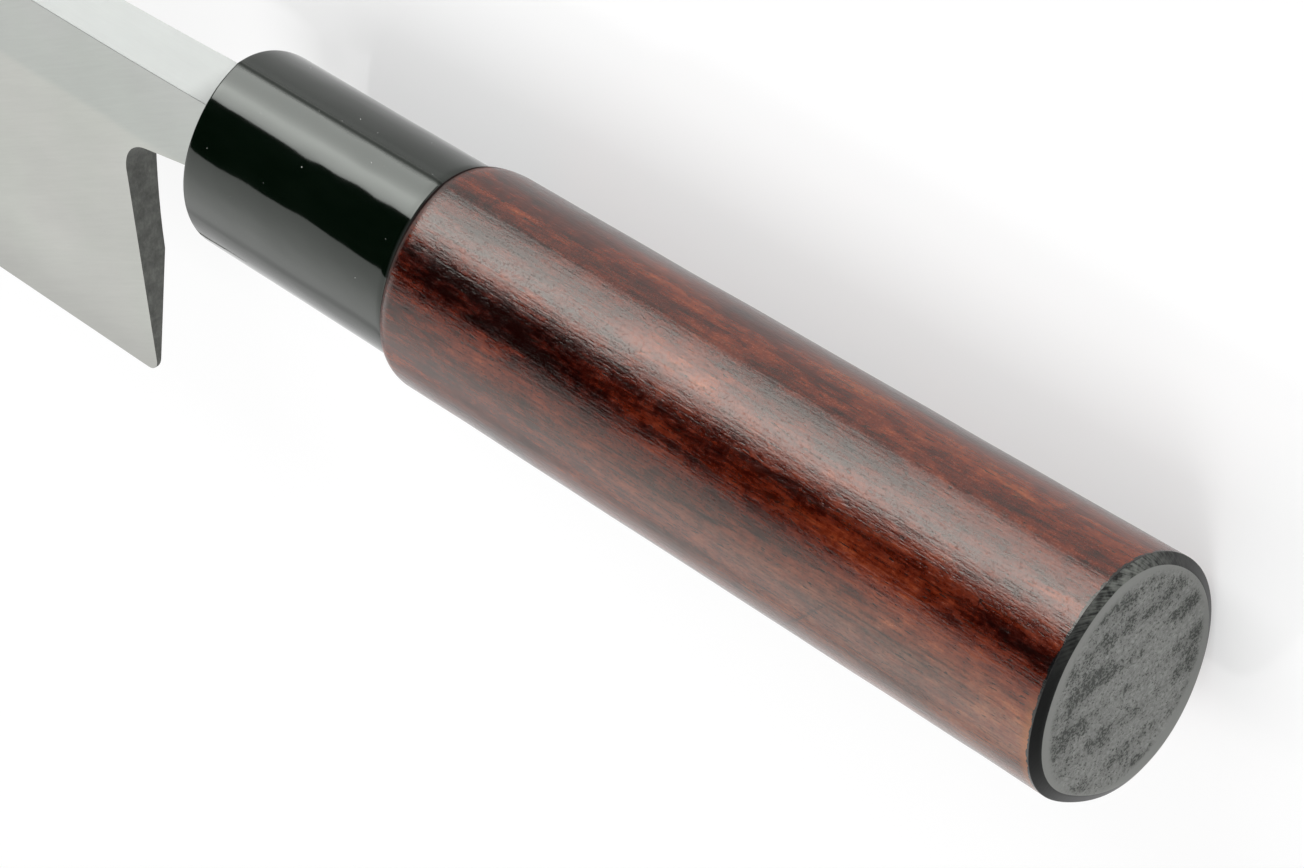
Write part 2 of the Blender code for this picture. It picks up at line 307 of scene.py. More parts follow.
class Shader:
    """A material's nodes, with a short call for each kind used here."""

    def __init__(self, material):
        material.use_nodes = True
        self.material = material
        self.tree = material.node_tree
        self.surface = self.tree.nodes.get("Principled BSDF")
        if self.surface:
            self.place = self.add("ShaderNodeTexCoord").outputs["Object"]
            self.mm = self.vector("SCALE", self.place, scale=1000.0)
            self.x, self.y, self.z = self.split(self.place)

    def put(self, socket, value):
        if isinstance(value, bpy.types.NodeSocket):
            self.tree.links.new(value, socket)
        else:
            socket.default_value = value

    def add(self, kind, values=(), **settings):
        made = self.tree.nodes.new(kind)
        for name, value in settings.items():
            setattr(made, name, value)
        for key, value in dict(values).items():
            self.put(made.inputs[key], value)
        return made

    def split(self, vector):
        return self.add("ShaderNodeSeparateXYZ", {0: vector}).outputs

    def join(self, x, y, z):
        return self.add("ShaderNodeCombineXYZ", {0: x, 1: y, 2: z}).outputs[0]

    def vector(self, operation, a, b=(0, 0, 0), scale=1.0):
        values = {0: a, 3: scale} if operation == "SCALE" else {0: a, 1: b}
        outputs = self.add("ShaderNodeVectorMath", values, operation=operation).outputs
        return outputs["Value" if operation == "LENGTH" else "Vector"]

    def calc(self, operation, a, b=0.0, c=0.0, clamp=False):
        values = {0: a, 1: b, 2: c}
        return self.add("ShaderNodeMath", values, operation=operation, use_clamp=clamp).outputs[0]

    def total(self, *terms):
        """The sum of (share, value) terms, each value less its middle of 0.5."""
        found = 0.5
        for share, value in terms:
            found = self.calc("MULTIPLY_ADD", self.calc("SUBTRACT", value, 0.5), share, found)
        return found

    def span(self, value, low, high, to_low=0.0, to_high=1.0):
        """From to_low at low to to_high at high, with a soft start and end."""
        values = {0: value, 1: low, 2: high, 3: to_low, 4: to_high}
        made = self.add("ShaderNodeMapRange", values, interpolation_type="SMOOTHSTEP")
        return made.outputs[0]

    def product(self, first, *others):
        for other in others:
            first = self.calc("MULTIPLY", first, other)
        return first

    def highest(self, first, *others):
        for other in others:
            first = self.calc("MAXIMUM", first, other)
        return first

    def wave(self, value, period):
        return self.calc("SINE", self.calc("MULTIPLY", value, 2 * math.pi / period))

    def bell(self, a, b):
        """1 where a and b are 0, a half where one of them is 1 or -1, and 0 far away."""
        far = self.calc("ADD", self.calc("MULTIPLY", a, a), self.calc("MULTIPLY", b, b))
        return self.calc("POWER", 2.0, self.calc("MULTIPLY", far, -1.0))

    def grain(self, stretch, scale, detail=2.0, roughness=0.5, twist=0.0, at=None):
        """Noise in millimetres, drawn out where stretch is below 1."""
        place = self.vector("MULTIPLY", self.mm if at is None else at, stretch)
        values = {"Vector": place, "Scale": scale, "Detail": detail}
        values.update({"Roughness": roughness, "Distortion": twist})
        return self.add("ShaderNodeTexNoise", values).outputs[0]

    def ramp(self, value, *stops):
        """The colour at value, from (value, colour) stops."""
        made = self.add("ShaderNodeValToRGB", {0: value})
        bar = made.color_ramp
        while len(bar.elements) < len(stops):
            bar.elements.new(0.5)
        for element, (where, color) in zip(bar.elements, stops):
            element.position = where
            element.color = (*color, 1)
        return made.outputs[0]

    def mix(self, share, a, b):
        made = self.add("ShaderNodeMix", {0: share}, data_type="RGBA")
        for index, color in ((6, a), (7, b)):
            self.put(made.inputs[index], (*color, 1) if isinstance(color, tuple) else color)
        return made.outputs[2]

    def shade(self, color, factor):
        return self.vector("SCALE", color, scale=factor)

    def bump(self, height, metres, under=None):
        """A normal from height, on top of the normal under."""
        values = {"Height": height, "Distance": metres, "Strength": 1.0}
        if under is not None:
            values["Normal"] = under
        return self.add("ShaderNodeBump", values).outputs[0]

    def finish(self, color, roughness, normal=None, metallic=0.0, specular=0.5):
        self.put(self.surface.inputs["Base Color"], color)
        self.put(self.surface.inputs["Roughness"], roughness)
        self.surface.inputs["Metallic"].default_value = metallic
        self.surface.inputs["Specular IOR Level"].default_value = specular
        if normal is not None:
            self.put(self.surface.inputs["Normal"], normal)
        return self.material

    def tint(self, color):
        """The highlight's colour."""
        self.surface.inputs["Specular Tint"].default_value = (*color, 1)

    def left_and_up(self):
        """(left, up) in the knife's own terms, in mm."""
        left = self.calc("MULTIPLY", self.calc("ADD", self.z, ORIGIN_LEFT), 1000.0)
        up = self.calc("MULTIPLY", self.calc("SUBTRACT", ORIGIN_UP, self.y), 1000.0)
        return left, up

    def handle(self):
        """(along and distance from the butt in mm, angle round the handle in degrees)."""
        along = self.calc("MULTIPLY_ADD", self.x, 1000.0, ORIGIN_ALONG * 1000)
        up = self.calc("SUBTRACT", ORIGIN_UP, self.y)
        left = self.calc("ADD", self.z, ORIGIN_LEFT)
        angle = self.calc("DEGREES", self.calc("ARCTAN2", up, left))
        return along, self.calc("SUBTRACT", along, BUTT * 1000), angle


def new_shader(name):
    return Shader(bpy.data.materials.new(name))


def spot(s, along, angle, at, turn, length, width):
    """A soft patch round a place on the handle, with its half sizes in mm and degrees."""
    a = s.calc("DIVIDE", s.calc("SUBTRACT", along, at), length)
    b = s.calc("DIVIDE", s.calc("SUBTRACT", angle, turn), width)
    return s.bell(a, b)


# Soft patches of the stain: middle along and round the handle, half length in mm, half width in
# degrees, and how much lighter or darker; the long dark band along the top is painted shade
PATCHES = (
    (-112.0, 97.0, 18.0, 9.0, 0.16),
    (-86.0, 98.0, 9.0, 7.0, 0.11),
    (-53.0, 100.0, 14.0, 7.0, 0.09),
    # Painted shade: a long darker band along the top side
    (-80.0, 121.0, 70.0, 9.0, -0.12),
    (-85.0, 99.0, 80.0, 17.0, -0.01),
    (-110.0, 0.0, 45.0, 28.0, 0.06),
    (-88.0, 27.0, 9.0, 7.0, -0.08),
    (-78.0, 47.0, 70.0, 3.5, -0.13),
    (-78.0, 40.0, 70.0, 5.0, -0.06),
    (-122.0, 41.0, 22.0, 7.0, -0.10),
    (-45.0, 41.0, 16.0, 9.0, -0.25),
    (-45.0, 4.0, 18.0, 24.0, -0.05),
    (-122.0, 8.0, 8.0, 14.0, 0.09),
    (-75.0, 58.0, 12.0, 6.0, 0.05),
)

# The stain's colours, from its darkest tone to its lightest, and the colours that lie over it
STAIN = (
    (0.16, (0.006, 0.0004, 0.0002)),
    (0.30, (0.026, 0.0018, 0.0004)),
    (0.44, (0.066, 0.0066, 0.0014)),
    (0.58, (0.118, 0.0160, 0.0040)),
    (0.72, (0.185, 0.0340, 0.0090)),
    (0.90, (0.300, 0.0750, 0.0220)),
)
# Painted sheen: the grey-brown that lightens the lower left side in place of a brighter reflection
PAINTED_SHEEN_COLOR = (0.17, 0.155, 0.115)
DARK_LINE = (0.006, 0.002, 0.0012)
PORE = (0.005, 0.003, 0.002)
CRACK = (0.008, 0.002, 0.0015)
BARE_WOOD = (0.27, 0.09, 0.024)
# Painted shade on the grip's front edge, beside the joint
JOINT_PAINTED_SHADE = (0.006, 0.002, 0.0015)
BLACK_PAINT = (0.004, 0.004, 0.0045)

# Where the painted shade at the joint starts and is full, and where the stain and the painted sheen
# change from the butt to the joint, in mm along
JOINT_SHADE_START, JOINT_SHADE_FULL = -34.9, -33.9
STAIN_BUTT, PAINTED_SHEEN_BUTT, GRIP_JOINT = -128.0, -125.0, -34.0

# Faint cracks: middle along and round the handle, lean in mm a degree, and the degrees they span
CRACKS = ((-96.3, 2.0, -0.20, -28.0, 10.0), (-108.8, 122.0, -0.20, 116.0, 140.0))
CRACK_EASE = 6
CRACK_SHARE = 0.5

# Fine ripples that a tool left across the top: their period in mm, lean, patch and height
CHATTER_PERIOD = 0.42
CHATTER_LEAN = 0.12
CHATTER_PATCH = (-78.0, 66.0, 5.0, 8.0)
CHATTER_HEIGHT = 0.0008 * MM


def crack(s, along, angle, at, turn, lean, low, high):
    """A faint ragged line across the handle that leans along it, from low to high degrees."""
    middle = s.calc("MULTIPLY", s.calc("SUBTRACT", angle, turn), lean)
    place = s.calc("SUBTRACT", s.calc("SUBTRACT", along, at), middle)
    place = s.calc("ADD", place, s.grain((1, 1, 1), 0.5, 2, 0.6))
    line = s.span(s.calc("ABSOLUTE", place), 0.35, 0.02)
    start = s.span(angle, low - CRACK_EASE, low + CRACK_EASE)
    return s.product(line, start, s.span(angle, high + CRACK_EASE, high - CRACK_EASE))


class WoodGrain:
    """The layers of the wood's figure: broad ones, then fine ones along the grain and across it."""

    def __init__(self, s):
        self.blotch = s.grain((0.30, 1, 1), 0.20, 3, 0.55, 0.4)
        self.streak = s.grain((0.10, 1, 1), 0.60, 2, 0.55, 0.2)
        self.mottle = s.grain((0.45, 1, 1), 0.90, 3, 0.60, 0.2)
        self.curl = s.grain((1.1, 0.5, 0.5), 0.8, 2, 0.6, 0.3)
        self.fleck = s.grain((0.17, 1, 1), 2.9, 3, 0.65, 0.15)
        self.fibre = s.grain((0.05, 1, 1), 6.0, 2, 0.6)
        self.rib = s.grain((0.045, 1, 1), 2.9, 1, 0.5, 0.15)
        self.speck = s.grain((0.45, 1, 1), 3.8, 2, 0.75)
        self.dot = s.grain((0.8, 1, 1), 4.6, 2, 0.7)
        self.ripple = s.grain((1, 0.13, 0.13), 2.4, 2, 0.6, 0.3)
        self.pores = s.span(s.grain((0.22, 1, 1), 4.2, 0, 0.5), 0.73, 0.80)


def wood_color(s, grain, along, from_butt, angle, front):
    """The stain, then what lies over it: painted sheen, lines, pores, cracks, wear, painted shade
    at the joint and paint.
    """
    tone = s.total(
        (0.60, grain.blotch), (0.60, grain.streak), (0.50, grain.mottle), (0.12, grain.curl)
    )
    fine = s.total(
        (0.45, grain.fleck), (0.24, grain.fibre), (0.22, grain.speck),
        (0.18, grain.ripple), (0.18, grain.dot),
    )
    tone = s.calc("ADD", tone, s.calc("SUBTRACT", fine, 0.5))
    tone = s.calc("ADD", tone, s.span(along, STAIN_BUTT, GRIP_JOINT, 0.01, -0.04))
    for *where, change in PATCHES:
        tone = s.calc("MULTIPLY_ADD", spot(s, along, angle, *where), change, tone)
    color = s.ramp(tone, *STAIN)
    # Painted sheen: the lower left side turned towards grey-brown, more so towards the butt
    painted_sheen_share = s.product(
        s.span(angle, 34.0, 8.0),
        s.span(angle, -75.0, -30.0),
        s.span(along, PAINTED_SHEEN_BUTT, GRIP_JOINT, 1.7, 0.2),
        s.span(s.total((0.6, grain.mottle), (0.6, grain.speck)), 0.35, 0.65, 0.08, 0.20),
    )
    color = s.mix(painted_sheen_share, color, PAINTED_SHEEN_COLOR)
    lines = s.total((0.9, grain.rib), (0.9, grain.speck), (0.3, grain.ripple))
    color = s.mix(s.span(lines, 0.50, 0.75, 0.0, 0.60), color, DARK_LINE)
    color = s.mix(s.calc("MULTIPLY", grain.pores, 0.75), color, PORE)
    cracks = s.highest(*(crack(s, along, angle, *row) for row in CRACKS))
    color = s.mix(s.calc("MULTIPLY", cracks, CRACK_SHARE), color, CRACK)
    rub = s.product(s.span(from_butt, 2.2, 0.9), s.span(angle, 34.0, 6.0), 0.7)
    color = s.mix(rub, color, BARE_WOOD)
    # Painted shade: near black on the grip's front edge, beside the joint
    color = s.mix(s.calc("MULTIPLY", front, 0.8), color, JOINT_PAINTED_SHADE)
    paint_end = s.calc("MULTIPLY_ADD", s.grain((0.4, 1, 1), 0.9, 3, 0.6), 0.9, 0.42)
    return s.mix(s.calc("LESS_THAN", from_butt, paint_end), color, BLACK_PAINT)


def wood_roughness(s, grain, angle, front):
    """Satin, rougher where the lacquer is worn and pitted on the upper left, and at the joint."""
    rough = s.total((0.22, grain.mottle), (0.18, grain.fleck), (0.20, grain.speck))
    rough = s.calc("SUBTRACT", rough, 0.315)
    worn = s.calc("MULTIPLY", s.span(angle, 50.0, 58.0), s.span(angle, 96.0, 84.0))
    pitted = s.span(s.total((1.0, grain.dot), (0.6, grain.speck)), 0.50, 0.72)
    rough = s.calc("MULTIPLY_ADD", s.calc("MULTIPLY", pitted, worn), 0.22, rough)
    return s.calc("MULTIPLY_ADD", front, 0.55, rough)


def wood_bump(s, grain, along, angle):
    """Tool ripples, ribs along the grain, its fine layers and soft mottling, added up."""
    turned = s.calc("MULTIPLY", along, 2 * math.pi / CHATTER_PERIOD)
    chatter = s.calc("SINE", s.calc("MULTIPLY_ADD", angle, CHATTER_LEAN, turned))
    chatter = s.calc("MULTIPLY", chatter, spot(s, along, angle, *CHATTER_PATCH))
    normal = s.bump(chatter, CHATTER_HEIGHT)
    normal = s.bump(grain.rib, 0.014 * MM, normal)
    height = s.total(
        (0.8, grain.fleck), (0.9, grain.speck), (0.8, grain.dot),
        (0.5, grain.fibre), (0.6, grain.ripple), (-0.2, grain.pores),
    )
    normal = s.bump(height, 0.017 * MM, normal)
    return s.bump(grain.mottle, 0.025 * MM, normal)


def wood():
    """Red-brown stain under worn satin lacquer, on wood whose grain runs along the handle."""
    s = new_shader("stained_wood")
    along, from_butt, angle = s.handle()
    grain = WoodGrain(s)
    front = s.span(along, JOINT_SHADE_START, JOINT_SHADE_FULL)
    color = wood_color(s, grain, along, from_butt, angle, front)
    s.tint((1.0, 0.985, 0.92))
    rough = wood_roughness(s, grain, angle, front)
    return s.finish(color, rough, wood_bump(s, grain, along, angle), specular=0.63)


def dark_rim():
    """Painted shade on the grip's front edge, beside the joint: mottled near black, with little
    reflection.
    """
    s = new_shader("dark_rim")
    mottle = s.grain((1, 1, 1), 1.2, 3, 0.6)
    color = s.mix(mottle, (0.002, 0.001, 0.001), (0.012, 0.004, 0.003))
    rough = s.calc("MULTIPLY_ADD", mottle, 0.3, 0.55)
    return s.finish(color, rough, s.bump(mottle, 0.05 * MM), specular=0.04)


def butt_edge_paint():
    """Black paint on the butt's chamfer, scuffed in slanting strokes on the top that are painted
    grey as a reflection.
    """
    s = new_shader("butt_edge_paint")
    along, from_butt, angle = s.handle()
    turn = s.calc("MULTIPLY", s.calc("MULTIPLY_ADD", from_butt, 9.0, angle), 0.75)
    hatch = s.grain((1, 1, 1), 1.0, 2, 0.6, at=s.join(turn, along, 0.0))
    broad = s.grain((1, 1, 1), 0.8, 3, 0.6)
    strokes = s.span(s.total((0.7, hatch), (0.8, broad)), 0.30, 0.66)
    # Painted reflection: scuffed grey strokes on the top of the chamfer, where the wood's highlight
    # band reaches it
    worn = s.calc("MULTIPLY", spot(s, along, angle, -125.0, 88.0, 9.0, 22.0), strokes)
    color = s.mix(worn, (0.0020, 0.0025, 0.0022), (0.21, 0.22, 0.20))
    rough = s.calc("MULTIPLY_ADD", worn, 0.2, 0.35)
    height = s.total((0.6, hatch), (0.5, broad))
    return s.finish(color, rough, s.bump(height, 0.02 * MM), specular=0.2)


# The worn butt: the periods of its bands of pores and of the rays across them, in mm, the smooth
# rim's half sizes, and the middle and half sizes of the patch with few pores
BAND_PERIOD, RAY_PERIOD = 4.1, 2.7
RIM_HALF_SIZE = (12.1, 13.4)
CLEAR_MIDDLE, CLEAR_HALF_SIZE, CLEAR_SHARE = (-3.4, -0.6), (4.6, 5.5), 0.42


def butt_pores(s, left, up, cloud):
    """How dense the dark pores lie: in warped soft bands with rays across, and few in one patch."""
    warp = s.grain((1, 1, 1), 0.10, 2, 0.5)
    level = s.calc("MULTIPLY_ADD", warp, 3.2, s.calc("MULTIPLY_ADD", left, 0.02, up))
    band = s.calc("MULTIPLY_ADD", s.wave(level, BAND_PERIOD), 0.5, 0.5)
    side = s.calc("MULTIPLY_ADD", warp, 3.0, left)
    ray = s.span(s.wave(side, RAY_PERIOD), 0.70, 1.0)
    offsets = [s.calc("SUBTRACT", a, b) for a, b in zip((left, up), CLEAR_MIDDLE)]
    clear = s.bell(*(s.calc("DIVIDE", a, b) for a, b in zip(offsets, CLEAR_HALF_SIZE)))
    where = s.grain((1, 0.9, 0.6), 0.26, 2, 0.5)
    dense = s.total((0.34, band), (1.5, where), (1.0, cloud))
    dense = s.calc("SUBTRACT", dense, s.calc("MULTIPLY", clear, CLEAR_SHARE))
    ray = s.calc("MULTIPLY", ray, 0.22)
    return s.calc("SUBTRACT", s.span(dense, 0.12, 0.88), ray, clamp=True)


def butt_end_paint():
    """Thin black paint worn grey over end grain: dense dark pores in soft bands, a smooth rim."""
    s = new_shader("butt_end_paint")
    left, up = s.left_and_up()
    cloud = s.grain((1, 1, 1), 0.8, 2, 0.6)
    grit = s.grain((1, 1, 1), 3.6, 3, 0.7)
    across, over = (s.calc("DIVIDE", value, half) for value, half in zip((left, up), RIM_HALF_SIZE))
    inner = s.span(s.vector("LENGTH", s.join(across, over, 0.0)), 0.97, 0.88)
    dense = s.calc("MULTIPLY", butt_pores(s, left, up, cloud), inner)
    pore = s.calc("ADD", grit, s.span(dense, 0.0, 1.0, -0.05, 0.08))
    pore = s.calc("MULTIPLY", s.span(pore, 0.50, 0.60), inner)
    color = s.mix(dense, (0.272, 0.277, 0.262), (0.172, 0.179, 0.165))
    light = s.total((0.9, s.grain((1, 1, 1), 2.2, 3, 0.7)), (0.35, cloud))
    color = s.mix(inner, color, s.shade(color, s.calc("MULTIPLY_ADD", light, 1.5, 0.25)))
    color = s.mix(s.calc("MULTIPLY", pore, 0.8), color, (0.018, 0.021, 0.017))
    height = s.total((0.9, s.calc("MULTIPLY", grit, inner)), (-0.5, pore))
    return s.finish(color, 0.55, s.bump(height, 0.09 * MM), specular=0.3)


def black_plastic():
    """The polished collar: nearly black, a little wavy, with some dust and a dull mould line."""
    s = new_shader("polished_black")
    _, _, angle = s.handle()
    haze = s.grain((0.3, 1, 1), 0.4, 3, 0.6)
    fine = s.grain((1, 1, 1), 3.0, 2, 0.6)
    wave = s.grain((0.5, 1, 1), 0.16, 2, 0.5)
    dust = s.span(s.grain((1, 1, 1), 2.6, 0, 0.5), 0.892, 0.90)
    seam = s.bell(0.0, s.calc("SUBTRACT", angle, 82.4))
    color = s.mix(s.span(haze, 0.3, 0.7), (0.0008, 0.0026, 0.0012), (0.0016, 0.0036, 0.0020))
    color = s.mix(dust, color, (0.35, 0.35, 0.34))
    rough = s.calc("MULTIPLY_ADD", haze, 0.05, 0.05)
    rough = s.calc("MULTIPLY_ADD", seam, 0.8, rough)
    s.tint((0.955, 1.0, 0.94))
    return s.finish(color, rough, s.bump(fine, 0.0008 * MM, s.bump(wave, 0.11 * MM)), specular=0.64)


GRINDING_SLANT = math.radians(-28.0)


def grinding(s):
    """Places turned with the slanting grinding lines, in mm."""
    over = s.calc("MULTIPLY", s.y, -1000.0)
    across = s.calc("MULTIPLY", s.x, 1000.0)
    deep = s.calc("MULTIPLY", s.z, 1000.0)
    cosine, sine = math.cos(GRINDING_SLANT), math.sin(GRINDING_SLANT)
    first = s.calc("ADD", s.calc("MULTIPLY", across, cosine), s.calc("MULTIPLY", over, sine))
    second = s.calc("SUBTRACT", s.calc("MULTIPLY", over, cosine), s.calc("MULTIPLY", across, sine))
    return s.join(first, second, deep)


def steel():
    """Satin ground steel with slanting grinding lines: painted shade makes it darker and cooler
    above the hollow and darker again towards the edge; it is clouded by faint warm and green
    stains."""
    s = new_shader("satin_steel")
    lines = grinding(s)
    broad = s.grain((0.16, 1, 1), 0.30, 3, 0.55, at=lines)
    cloud = s.grain((1, 1, 1), 0.07, 2, 0.5)
    scratch = s.grain((0.02, 1, 1), 9.0, 2, 0.6, at=lines)
    hair = s.grain((0.05, 1, 1), 3.2, 2, 0.6, at=lines)
    grit = s.grain((1, 1, 1), 11.0, 1, 0.5)
    _, up = s.left_and_up()
    # Painted shade: the face above the hollow darker and cooler
    upper = s.span(s.calc("MULTIPLY_ADD", cloud, 1.6, up), -4.8, -3.2)
    color = s.mix(upper, (0.390, 0.396, 0.373), (0.349, 0.363, 0.346))
    tone = s.total((0.22, broad), (0.16, cloud), (0.10, scratch), (0.10, hair), (0.10, grit))
    color = s.shade(color, s.calc("ADD", tone, 0.5))
    stained = s.span(s.grain((1, 1, 1), 0.045, 3, 0.6), 0.38, 0.62)
    stain = s.mix(stained, (0.993, 1.0, 0.985), (1.0, 0.990, 0.990))
    color = s.vector("MULTIPLY", color, stain)
    # Painted shade: darker towards the edge
    color = s.shade(color, s.span(up, -30.0, -41.0, 1.0, 0.88))
    rough = s.calc("SUBTRACT", s.total((0.20, scratch), (0.16, broad)), 0.12)
    height = s.total((0.6, scratch), (0.5, hair))
    return s.finish(color, rough, s.bump(height, 0.0022 * MM), metallic=1.0)


def spine_steel():
    """The brighter spine, ground along its length: partly bright steel and partly a painted
    highlight in place of the key light kept off the blade, and painted darker where the collar's
    shade falls.
    """
    s = new_shader("ground_spine")
    scratch = s.grain((0.03, 1, 1), 8.0, 2, 0.6)
    cloud = s.grain((0.3, 1, 1), 0.3, 2, 0.5)
    tone = s.total((0.10, scratch), (0.10, cloud))
    # Painted shade: darker towards the collar
    near = s.span(s.x, -ORIGIN_ALONG + 9 * MM, -ORIGIN_ALONG + 4 * MM, 0.5, 0.20)
    # Painted highlight: the colour raised to stand in for the key light that the flag keeps off the
    # blade
    color = s.shade((0.780, 0.805, 0.782), s.calc("ADD", tone, near))
    rough = s.calc("MULTIPLY_ADD", scratch, 0.2, 0.38)
    return s.finish(color, rough, s.bump(scratch, 0.002 * MM), metallic=1.0)


def heel_scale():
    """The rough dark face left by the forge behind the heel and round the notch."""
    s = new_shader("forged_heel")
    mottle = s.grain((1, 1, 1), 0.55, 4, 0.65)
    fine = s.grain((1, 0.4, 1), 3.5, 3, 0.65)
    tone = s.total((1.0, mottle), (0.6, fine))
    dark, middle, light = (0.046, 0.048, 0.042), (0.092, 0.096, 0.085), (0.17, 0.176, 0.16)
    color = s.ramp(tone, (0.25, dark), (0.5, middle), (0.8, light))
    rough = s.calc("MULTIPLY_ADD", fine, 0.25, 0.42)
    return s.finish(color, rough, s.bump(tone, 0.04 * MM), specular=0.5)


def resin():
    """Clouded amber resin, out of sight in the handle."""
    s = new_shader("set_resin")
    cloud = s.grain((1, 1, 1), 0.4, 3, 0.6)
    color = s.mix(cloud, (0.28, 0.16, 0.05), (0.42, 0.27, 0.10))
    return s.finish(color, s.calc("MULTIPLY_ADD", cloud, 0.2, 0.3), s.bump(cloud, 0.05 * MM))


def curve_share(along):
    """0 up to where the spine and edge start to curve, rising to 1 at the tip."""
    start = HEEL + CURVE_START * BLADE_LENGTH
    return max(0.0, (along - start) / (TIP - start))


def spine_at(along):
    return SPINE_UP - (TIP_DROP - TIP_HEIGHT / 2) * curve_share(along) ** SPINE_CURVE_POWER


def edge_at(along):
    rise = SPINE_UP - TIP_DROP - TIP_HEIGHT / 2 - EDGE_UP
    return EDGE_UP + rise * curve_share(along) ** EDGE_CURVE_POWER


def left_face_at(along):
    return LEFT_FACE - NECK_FACE_IN * max(0.0, 1 - along / NECK_FACE_LENGTH) ** 2


def bevel_height(along):
    height = spine_at(along) - edge_at(along)
    fall = min(1.0, height / BLADE_HEIGHT) ** BEVEL_FALL
    return min(BEVEL_HEIGHT * fall, BEVEL_MOST * height)


def thickness_at(along, rise):
    """The blade's thickness above the bevel: rise is 0 on the ridge line and 1 at the spine."""
    bevel = bevel_height(along)
    above = spine_at(along) - edge_at(along) - bevel
    ridge = EDGE_THICKNESS + (BEVEL_THICKNESS - EDGE_THICKNESS) * bevel / BEVEL_HEIGHT
    widening = (NECK_THICKNESS - BEVEL_THICKNESS) / (BLADE_HEIGHT - BEVEL_HEIGHT)
    spine = min(NECK_THICKNESS - SPINE_TAPER * along, ridge + widening * above)
    return ridge + (spine - ridge) * rise**SIDE_HOLLOW_POWER


def blade_ring(along):
    """The blade's section: down the left face and its hollow, round the edge and up the right."""
    top, edge, face = spine_at(along), edge_at(along), left_face_at(along)
    share = (top - edge) / BLADE_HEIGHT
    chamfer = SPINE_CHAMFER * min(1.0, 2 * share)
    band_top = top - HOLLOW_TOP_BAND * share
    width = band_top - edge - HOLLOW_EDGE_BAND * share
    depth = eased(along, *HOLLOW_RUN_IN) * width**2 / (8 * HOLLOW_WHEEL_RADIUS)
    ring = [(along, face, top - chamfer)]
    for i in range(HOLLOW_STEPS + 1):
        across = 2 * i / HOLLOW_STEPS - 1
        ring.append((along, face - depth * (1 - across**2), band_top - width * i / HOLLOW_STEPS))
    ring.append((along, face, edge))
    ring.append((along, face - EDGE_THICKNESS, edge))
    ridge_up = edge + bevel_height(along)
    for i in range(SIDE_STEPS + 1):
        up = ridge_up + (top - chamfer - ridge_up) * i / SIDE_STEPS
        ring.append((along, face - thickness_at(along, i / SIDE_STEPS), up))
    ring.append((along, face - thickness_at(along, 1) + chamfer, top))
    ring.append((along, face - chamfer, top))
    return ring


def arc(middle, radius, start, end, steps):
    turns = [math.radians(start + (end - start) * i / steps) for i in range(steps + 1)]
    return [(middle[0] + radius * math.cos(t), middle[1] + radius * math.sin(t)) for t in turns]


def heel_cutter():
    """What is cut away behind the heel: round its corner, up it, round the notch, to the neck."""
    lowest, back = EDGE_UP - BLADE_HEIGHT, TANG_START - HEEL
    lean = math.degrees(math.atan(NECK_SLOPE))
    notch_along = HEEL - NOTCH
    notch_up = -NECK_BOTTOM - NECK_SLOPE * notch_along - NOTCH / math.cos(math.radians(lean))
    corner = (HEEL + HEEL_CORNER, EDGE_UP + HEEL_CORNER)
    outline = [(back, lowest), (corner[0], lowest)]
    outline += arc(corner, HEEL_CORNER, 270, 180, CORNER_STEPS)
    outline += arc((notch_along, notch_up), NOTCH, 0, 90 - lean, NOTCH_STEPS)
    outline += [(back, -NECK_BOTTOM - NECK_SLOPE * back)]
    sides = (-NECK_THICKNESS, NECK_THICKNESS)
    return loft("heel_cutter", [[(along, side, up) for along, up in outline] for side in sides])


def tang_rings(grow, start, end):
    """The tang's sections at two places, grown on every side."""
    rings = []
    for along in (start, end):
        share = min(1.0, (TANG_START - along) / TANG_LENGTH)
        sides = [(a - b * share) * MM + 2 * grow for a, b in zip(TANG_SIZE, TANG_TAPER)]
        rings.append(slab_ring(along, *sides))
    return rings


def make_blade():
    neck = [TANG_START + (HEEL - TANG_START) * i / NECK_STEPS for i in range(NECK_STEPS)]
    turns = [0.5 * math.pi * i / BLADE_STEPS for i in range(BLADE_STEPS + 1)]
    stations = neck + [HEEL + BLADE_LENGTH * math.sin(turn) for turn in turns]
    blade = loft("blade_steel", [blade_ring(along) for along in stations])
    faces, spine = 0, 1
    blade.data.materials.append(steel())
    blade.data.materials.append(spine_steel())
    cutter = heel_cutter()
    cutter.data.materials.append(heel_scale())
    combine(blade, cutter, "DIFFERENCE")
    tang = loft("tang", tang_rings(0, TANG_START + TANG_OVERLAP, TANG_START - TANG_LENGTH))
    tang.data.materials.append(blade.data.materials[faces])
    combine(blade, tang, "UNION")
    soften(blade, width=EDGE_SOFTENING, segments=2, degrees=60)
    for face in blade.data.polygons:
        upward = face.normal.y < -SPINE_FACING and face.center.x > -ORIGIN_ALONG
        if upward and face.material_index == faces:
            face.material_index = spine
    smooth(blade, degrees=25)
    weighted = blade.modifiers.new("weighted", "WEIGHTED_NORMAL")
    weighted.keep_sharp = True
    settle(blade)
    return blade


def collar_ring(along, inward=0.0, wave=0.0):
    size = (COLLAR_SIZE[0] - 2 * inward, COLLAR_SIZE[1] - 2 * inward)
    return handle_ring(along, size, wave=wave, length=COLLAR_WAVE_LENGTH, ridge=COLLAR_RIDGE)


